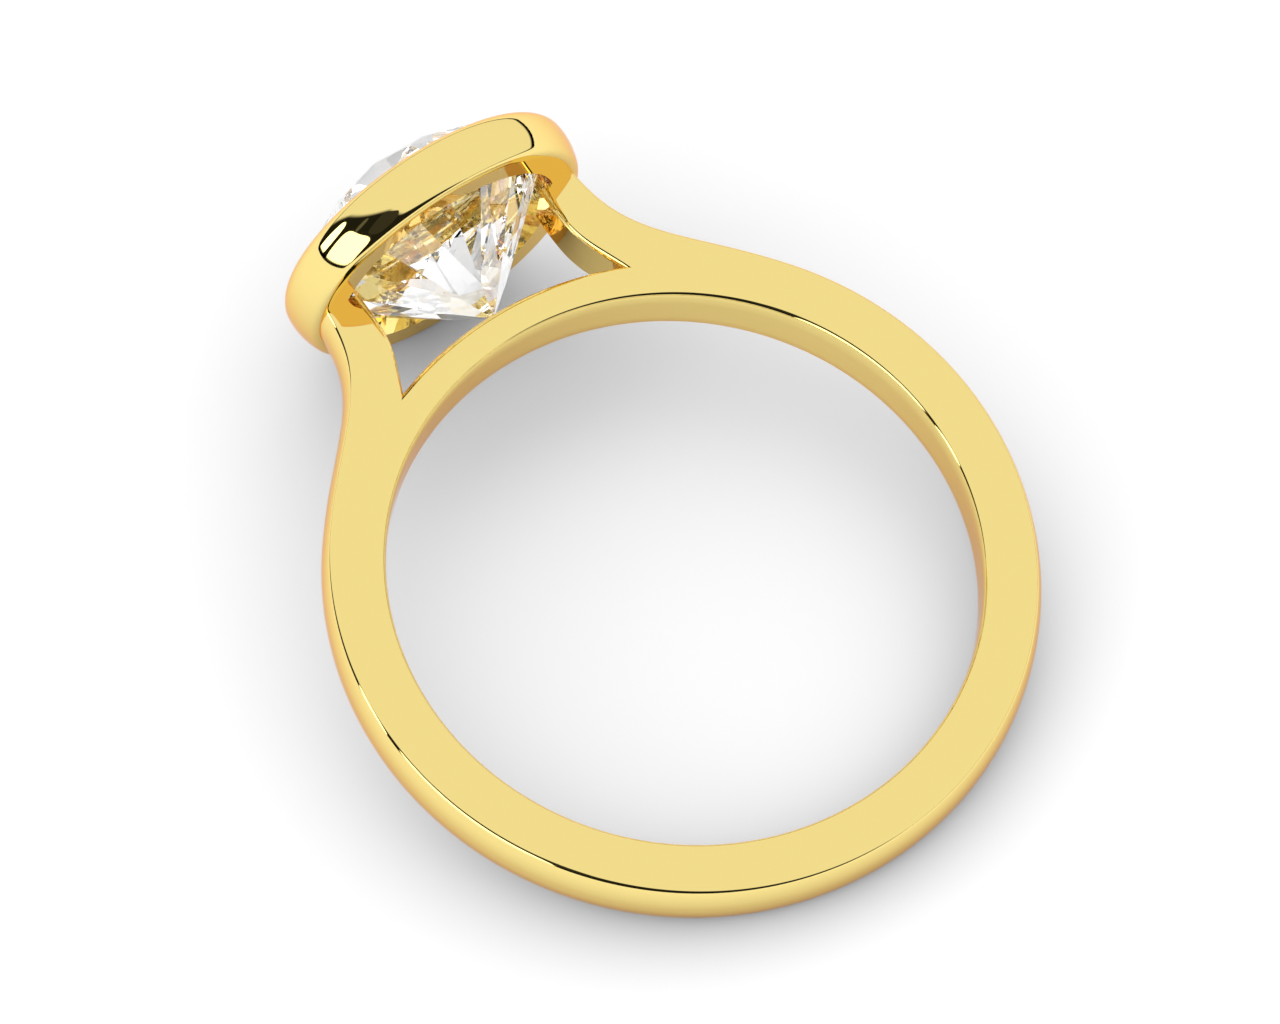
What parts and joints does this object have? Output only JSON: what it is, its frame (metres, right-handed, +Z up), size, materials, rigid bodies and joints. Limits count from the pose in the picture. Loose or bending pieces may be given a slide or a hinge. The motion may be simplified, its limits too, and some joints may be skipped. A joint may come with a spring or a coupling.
{
  "type": "bezel set ring",
  "caption": "Finger ring with a flat-sided polished band whose shoulders rise around an open window to a round bezel holding a faceted clear stone.",
  "frame": {"origin": "on the floor, under the middle of the lying ring", "axes": "+Y from the band's base towards the head, +Z up from the floor, +X across the head"},
  "size_m": [0.0198, 0.0242, 0.0092],
  "materials": {
    "gold": "mirror polished yellow gold",
    "stone": "clear cut and polished facets"
  },
  "bodies": {
    "root": {"gold": "gold", "stone": "stone"}
  },
  "joints": []
}
